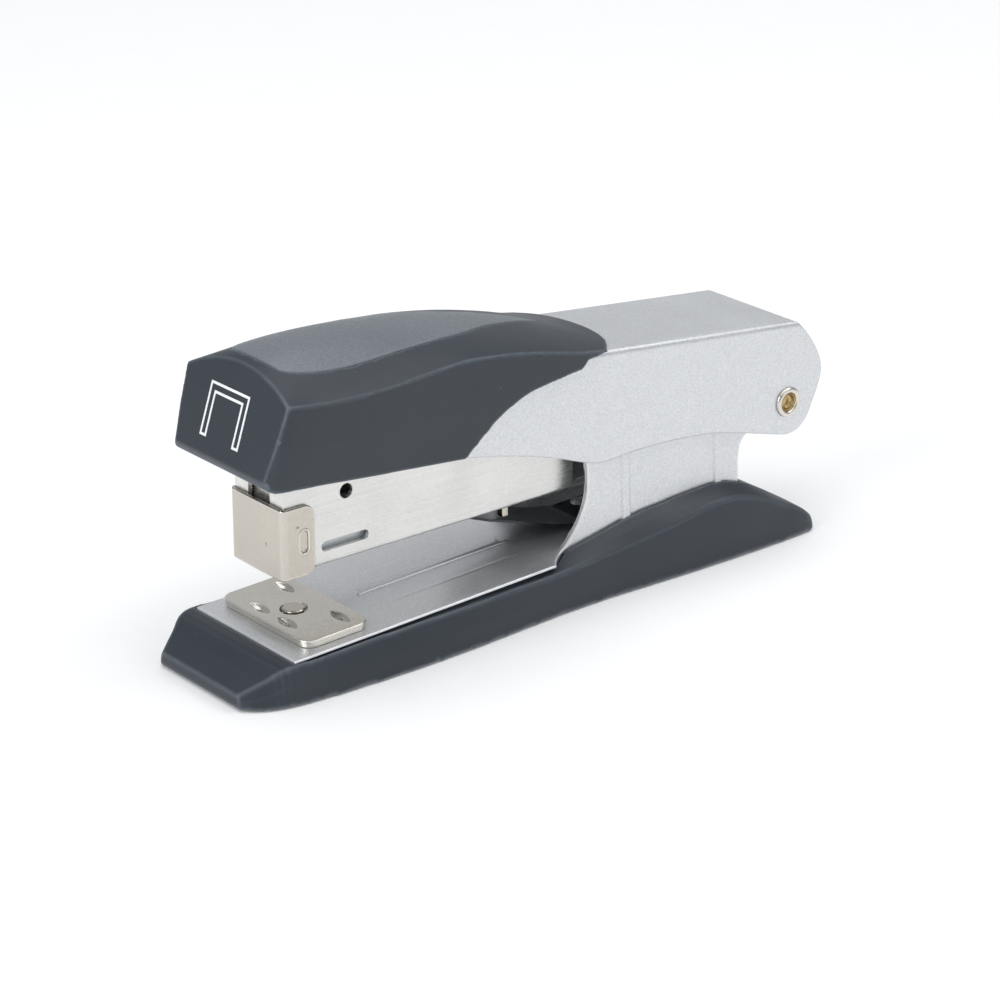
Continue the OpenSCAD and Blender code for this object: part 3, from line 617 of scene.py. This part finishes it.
def long_bead(y, width, x0, x1, height):
    """Raised bead along the plate with sloping sides and ends."""
    rings = []
    for z, half, end in ((-0.3, width / 2, 0), (0.0, width / 2, 0), (height, width / 2 - 0.45, 0.6)):
        rings.append([(x0 + end, y - half, z), (x1 - end, y - half, z), (x1 - end, y + half, z),
                      (x0 + end, y + half, z)])
    return to_base(loft(rings))


# The ribs are a piece of their own, because the plate's mesh is too coarse for them
ribs = []
plate_parts = [to_base(prism_xy(both_sides(PLATE_SIDE), -BASE_T, 0))]
for side in (-1, 1):
    low, high = across(side, UPRIGHT_OUT - BASE_T, UPRIGHT_OUT)
    plate_parts.append(prism_xz(UPRIGHT_SIDE, low, high))
    plate_parts.append(turned([(EAR_R, low), (EAR_R, high)], AT_PIVOT, "Y"))
    near, far = side * (UPRIGHT_OUT - 0.3), side * (UPRIGHT_OUT + 0.42)
    for x, width in RIBS:
        w = width / 2
        ribs.append(to_base(loft([
            [(x - w, near, z), (x + w, near, z), (x + w - 0.7, far, z), (x - w + 0.7, far, z)]
            for z in (-0.4, 20)])))
plate_parts += [long_bead(0.6, 2.2, 26.8, 61, 0.24)] + [long_bead(y, 1.0, 30, 60, 0.1) for y in (-7, 7)]
plate = build("base_plate_pressed", plate_parts, IN_BASE)
soften(plate, 0.26, 1, IN_PLATE)
boolean(plate, [turned([(2.4, -20), (2.4, 20)], AT_PIVOT, "Y", 32)], IN_BASE)
boolean(plate, [prism_xy(circle(ANVIL_X, 0, 2.05, 32), -5, 5)]
        + [prism_xy(circle(x, y, 1.3, 32), -5, -0.4) for x, y in SCREWS]
        + [prism_xy(circle(SPRING_RIVET_X, y, 1, 32), -5, 5) for y in SPRING_RIVETS_Y]
        + [block(-1, 62.4, *across(side, 14.3, 18), -2, -RIM_T) for side in (-1, 1)]
        + [block(-1, 1.6, -17, 17, -2, -RIM_T)], IN_PLATE)
place_piece(plate, SILVER_PRESSED, "base", ["base_plate"])

rib_piece = build("upright_ribs", ribs, IN_BASE)
place_piece(rib_piece, SILVER, "base")

# Crest of the long bead's near edge; it starts low, where the anvil's corners pass over it
CREST_ROWS = [(22.6, 0.0), (23.4, 0.04), (26.6, 0.04), (28.6, 0.3), (60.2, 0.3), (61.2, 0.02)]
CREST_Y, CREST_HALF, CREST_FOOT, CREST_STEPS = -0.55, 0.32, -0.1, 6
crest_rings = []
for x, h in curve(CREST_ROWS, 4):
    angles = [math.pi * k / CREST_STEPS for k in range(CREST_STEPS + 1)]
    crest_rings.append([(x, CREST_Y + CREST_HALF * math.cos(a),
                         CREST_FOOT + (h - CREST_FOOT) * math.sin(a)) for a in angles])
crest = build("bead_crest", [loft(crest_rings)], IN_PLATE)
crest.data.shade_smooth()
place_piece(crest, SILVER_PRESSED, "base")

# ---- anvil ----

# Middle, length and width of the leaves, and their thickness; they stand just clear of the plate
ANVIL_MID, ANVIL_L, ANVIL_W, ANVIL_T = 11.55, 15.1, 28, 0.8
ANVIL_FOOT = 0.05


def rounded_outline(cx, length, width, r):
    corners = []
    for sx, sy, start in ((1, 1, 0), (-1, 1, 90), (-1, -1, 180), (1, -1, 270)):
        corners += arc(cx + sx * (length / 2 - r), sy * (width / 2 - r), r, start, start + 90, 10)
    return corners


def spindle(x, y, z, half_length, radius, n=24):
    """Pointed lens along Y, which presses a leaf-shaped hollow."""
    profile = [(radius * math.cos(math.pi / 2 * t) + 0.01, half_length * t)
               for t in [-1 + 2 * k / n for k in range(n + 1)]]
    return turned(profile, (x, y, z), "Y", 32)


surface = ANVIL_FOOT + 2 * ANVIL_T
top_outline = rounded_outline(ANVIL_MID, ANVIL_L, ANVIL_W, 2.8)
top = build("anvil_top", [prism_xy(top_outline, ANVIL_FOOT + ANVIL_T, surface)], IN_PLATE)
# The hollows of the two clinches lie at uneven distances from the stud, as in the photograph
hollows = []
for side in (-1, 1):
    hollows += [spindle(x, side * y, surface + 0.42, 4.0, 1.2) for x, y in ((6.7, 4.4), (15.6, 8.8))]
boolean(top, hollows + [turned([(2.65, -5), (2.65, 5)], (ANVIL_X, 0, 0))], IN_PLATE)
soften(top, 0.13, 2, IN_PLATE)
place_piece(top, NICKEL_ANVIL_LIGHTENED, "anvil", ["anvil_plate"])
under_outline = rounded_outline(ANVIL_MID, ANVIL_L - 0.5, ANVIL_W - 0.5, 2.6)
under = build("anvil_lower", [prism_xy(under_outline, ANVIL_FOOT, 0.03 + ANVIL_T)], IN_PLATE)
soften(under, 0.16, 2, IN_PLATE)
place_piece(under, NICKEL_ANVIL_LIGHTENED, "anvil", ["anvil_backing"])

# ---- nose guard ----

# Front, length, sheet thickness, lower and upper edge; radius of the flanges' corners and of the bends
GUARD_X, GUARD_L, GUARD_T, GUARD_LOW, GUARD_HIGH = 3.2, 7.4, 0.85, 20, 33.9
GUARD_R, GUARD_BEND = 2.2, 1.2
# How far the front bows, and how much the CAD box leaves for the pressings in the flanges
GUARD_BOW, BEAD_OUT = 0.1, 0.2
GUARD_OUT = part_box("nose_guard")[1].y / MM - BEAD_OUT
GUARD_REAR = GUARD_X + GUARD_L

guard_plan = [(GUARD_REAR, GUARD_OUT)] + arc(
    GUARD_X + GUARD_BOW + GUARD_BEND, GUARD_OUT - GUARD_BEND, GUARD_BEND, 90, 172)
guard_plan += [(GUARD_X + GUARD_BOW * (1 - math.cos(math.pi / 2 * y / GUARD_OUT)), y)
               for y in (5, 3.5, 2, 0.7)]
guard_side = ([(GUARD_X - 1, GUARD_HIGH), (GUARD_X - 1, GUARD_LOW)]
              + arc(GUARD_REAR - GUARD_R, GUARD_LOW + GUARD_R, GUARD_R, -90, 0)
              + arc(GUARD_REAR - GUARD_R, GUARD_HIGH - GUARD_R, GUARD_R, 0, 90))
# The pressing in each flange, and the raised rim around it
pill, pill_rim = (arc(8.15, 28.2, r, 0, 180) + arc(8.15, 25.5, r, 180, 360) for r in (0.85, 1.2))
guard = build("guard_pressed", [prism_xy(both_sides(guard_plan), GUARD_LOW - 1, GUARD_HIGH + 1)], IN_BASE)
boolean(guard, [prism_xz(guard_side, -20, 20)], IN_BASE, "INTERSECT")
boolean(guard, [prism_xz(pill_rim, *across(side, GUARD_OUT - 0.3, GUARD_OUT + 0.14))
                for side in (-1, 1)], IN_BASE, "UNION")
boolean(guard, [block(GUARD_X + GUARD_T, 20, GUARD_T - GUARD_OUT, GUARD_OUT - GUARD_T, 0, 60)]
        + [prism_xz(pill, *across(side, GUARD_OUT - 0.4, 20)) for side in (-1, 1)], IN_BASE)
soften(guard, 0.15, 2, IN_BASE)
place_piece(guard, NICKEL_PRESSED, "magazine", ["nose_guard"])

# ---- springs ----

LEAF_T = 0.5
RETURN_LEAF = curve([(46.6, 20.3), (52, 19), (57.6, 17.4), (65, 14.9), (71.5, 12.9), (77, 11.8)], 6)


def strip(top_edge, thickness, half_width):
    """Leaf below top_edge; half_width gives its half width at an x."""
    rings = []
    for i, (x, z) in enumerate(top_edge):
        a, b = top_edge[max(i - 1, 0)], top_edge[min(i + 1, len(top_edge) - 1)]
        along = Vector((b[0] - a[0], b[1] - a[1])).normalized()
        nx, nz = along.y * thickness, -along.x * thickness
        w = half_width(x)
        rings.append([(x, -w, z), (x, w, z), (x + nx, w, z + nz), (x + nx, -w, z + nz)])
    return loft(rings)


def return_width(x):
    """Half width of the return spring, which has a narrow tip."""
    if x < 47:
        return 1.2 + 0.8 * max(x - 46, 0)
    return min(2 + 3.6 * (x - 47) / 7, 5.6)


leaf_edge = RETURN_LEAF + [(78.5, 11.42), (90, 11.78)]
return_spring = build("return_leaf", [strip(leaf_edge, LEAF_T, return_width)], IN_BASE)
boolean(return_spring, [prism_xy(circle(SPRING_RIVET_X, y, 1, 32), -5, 10) for y in SPRING_RIVETS_Y],
        IN_PLATE)
place_piece(return_spring, LEAF, "base", ["return_spring"])
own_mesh(return_spring)

LIFT_SIDE = [(29, -1.2), (25, -1.2), (18, -2.55), (5.4, -2.55), (5.4, -2.85), (18.1, -2.85), (25.1, -1.5),
             (29, -1.5)]
lift_leaf = build("lift_leaf", [prism_xz(LIFT_SIDE, -4.5, 4.5)], IN_PLATE)
boolean(lift_leaf, [prism_xy(rounded_outline(17.2, 23.6, 9, 2.4), -4, 0)], IN_PLATE, "INTERSECT")
boolean(lift_leaf, [prism_xy(circle(ANVIL_X, 0, 2.3), -5, 0)], IN_PLATE)
place_piece(lift_leaf, LEAF, "base", ["anvil_spring"])
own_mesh(lift_leaf)

ROD_Z, PUSHER_END, RAIL_END = 24.4, 17, 104
COIL_R, WIRE_R, TURNS = 1.62, 0.24, 62


def helix(x0, x1, z, radius, wire, turns, around=8, per_turn=14):
    """Coil of round wire along X, with its end turns closed up."""
    rings = []
    total = turns * per_turn
    for i in range(total + 1):
        t = i / total
        eased = t - 0.012 * math.sin(2 * math.pi * t)
        a = 2 * math.pi * turns * t
        x = x0 + wire + (x1 - x0 - 2 * wire) * eased
        out = Vector((0, math.cos(a), math.sin(a)))
        centre = Vector((x, 0, z)) + out * radius
        angles = [2 * math.pi * k / around for k in range(around)]
        rings.append([tuple(centre + out * wire * math.cos(b) + Vector((1, 0, 0)) * wire * math.sin(b))
                      for b in angles])
    return loft(rings)


spring = build("follower_coil", [helix(PUSHER_END, RAIL_END, ROD_Z, COIL_R, WIRE_R, TURNS)], IN_BASE)
spring.data.shade_smooth()
place_piece(spring, WIRE, "magazine", ["follower_spring"])
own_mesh(spring)

# ---- emblem: a plain staple in outline ----


def outline_strip(path, width, thickness):
    """Closed flat band along a path drawn in Y and Z on the cap's front face."""
    n = len(path)
    outer, inner = [], []
    for i in range(n):
        p, q, r = Vector(path[i - 1]), Vector(path[i]), Vector(path[(i + 1) % n])
        a, b = (q - p).normalized(), (r - q).normalized()
        na, nb = Vector((-a.y, a.x)), Vector((-b.y, b.x))
        middle_normal = (na + nb).normalized()
        reach = width / 2 / max(middle_normal.dot(na), 0.3)
        outer.append(q + middle_normal * reach)
        inner.append(q - middle_normal * reach)
    front, lean = CAP_ROWS[0][0], CAP_ROWS[0][-1]
    points, faces = [], []
    for loop in (outer, inner):
        for offset in (-0.15, thickness):
            points += [(front - offset + lean * (v.y - LEAN_Z), v.x, v.y) for v in loop]
    for i in range(n):
        j = (i + 1) % n
        faces += [[i, j, n + j, n + i], [2 * n + i, 2 * n + j, 3 * n + j, 3 * n + i],
                  [n + i, n + j, 3 * n + j, 3 * n + i], [i, j, 2 * n + j, 2 * n + i]]
    return points, faces


EMBLEM_Y, EMBLEM_Z, EMBLEM_SCALE = 1.2, 10.6, 1.25
STAPLE = [(-4.6, -4.2), (-3.4, -4.2), (-3.4, 2.2), (3.4, 2.2), (3.4, -4.2), (4.6, -4.2), (4.6, 3.4),
          (-4.6, 3.4)]
emblem_path = [(EMBLEM_Y + EMBLEM_SCALE * y, EMBLEM_Z + EMBLEM_SCALE * z) for y, z in STAPLE]
emblem = build("emblem", [outline_strip(emblem_path, 0.46, 0.08)], IN_HANDLE)
place_piece(emblem, PRINT, "handle")

# ---- hollow rivet with its brass-coloured inside ----

# Profiles of one end, as radius and distance from the middle
EYELET = [(0.02, 12.35), (1.84, 12.4), (1.86, 13.3), (1.92, 13.6), (2.05, 13.85), (2.25, 14.0), (2.5, 14.05),
          (2.75, 14.02), (3.0, 13.87), (3.13, 13.65), (3.15, 13.5), (3.1, 13.38), (2.38, 13.36)]
CUP = [(0.02, 12.38), (1.83, 12.38), (1.83, 13.6), (1.75, 13.72), (1.66, 13.5), (1.52, 13.0), (1.3, 12.7),
       (1.0, 12.62), (0.6, 12.72), (0.02, 12.8)]
rivet_profile = [(r, -h) for r, h in EYELET] + EYELET[::-1]
eyelet = build("pivot_eyelet", [turned(rivet_profile, AT_PIVOT, "Y")], IN_BASE)
eyelet.data.shade_smooth()
place_piece(eyelet, NICKEL_PRESSED, "base", ["pivot_rivet"])
lining = build("rivet_lining", [turned([(r, side * h) for r, h in CUP], AT_PIVOT, "Y", 48)
                                for side in (-1, 1)], IN_BASE)
lining.data.shade_smooth()
place_piece(lining, BRASS, "base")

# ---- CAD nodes that keep their shape ----

for row in frame["record"]["subparts"]:
    part = frame["nodes"].get(row["node"])
    if part is not None and not part.hide_render:
        part.data.materials.clear()
        # The staple rail takes the lightened steel, a painted light for the slot's shaded inside
        part.data.materials.append(LIGHTENED_RAIL if row["node"] == "staple_rail" else SLOTS[row["material_slot"]])

# ---- studio ----

# The studio's sizes and places are in metres, and its powers in watts
FLOOR_HALF = 3.0
floor_mesh = bpy.data.meshes.new("floor")
floor_mesh.from_pydata([(x * FLOOR_HALF, y * FLOOR_HALF, 0) for x, y in ((-1, -1), (1, -1), (1, 1), (-1, 1))],
                       [], [(0, 1, 2, 3)])
floor = bpy.data.objects.new("floor", floor_mesh)
bpy.context.scene.collection.objects.link(floor)
floor_mesh.materials.append(FLOOR)
floor_inputs = FLOOR.node_tree.nodes["Principled BSDF"].inputs
floor_inputs["Emission Color"].default_value = (1, 1, 1, 1)
floor_inputs["Emission Strength"].default_value = 0.09

world = bpy.data.worlds.new("world")
world.use_nodes = True
sky = world.node_tree.nodes["Background"].inputs
sky["Color"].default_value = (0.93, 0.96, 1, 1)
sky["Strength"].default_value = 0.40
bpy.context.scene.world = world
bpy.context.scene.view_settings.view_transform = "Standard"

LIGHTS = (
    ("overhead", (0.05, 0.0, 1.2), (1.6, 1.6), 10.5),
    ("left", (-1.0, -0.1, 0.5), (0.6, 0.6), 4.6),
    ("high_right", (0.72, -0.44, 0.86), (0.5, 0.3), 1.5),
    ("right", (0.4, -1.1, 0.5), (0.8, 0.6), 0.95),
    ("behind", (0.75, 0.92, 0.5), (1.0, 0.6), 0.45),
)
AIMED_AT = Vector((0, 0, 0.02))
for name, position, size, power in LIGHTS:
    data = bpy.data.lights.new(name, "AREA")
    data.shape = "RECTANGLE"
    data.size, data.size_y = size
    data.energy = power
    lamp = bpy.data.objects.new(name, data)
    bpy.context.scene.collection.objects.link(lamp)
    lamp.location = position
    lamp.rotation_euler = (AIMED_AT - Vector(position)).to_track_quat("-Z", "Y").to_euler()
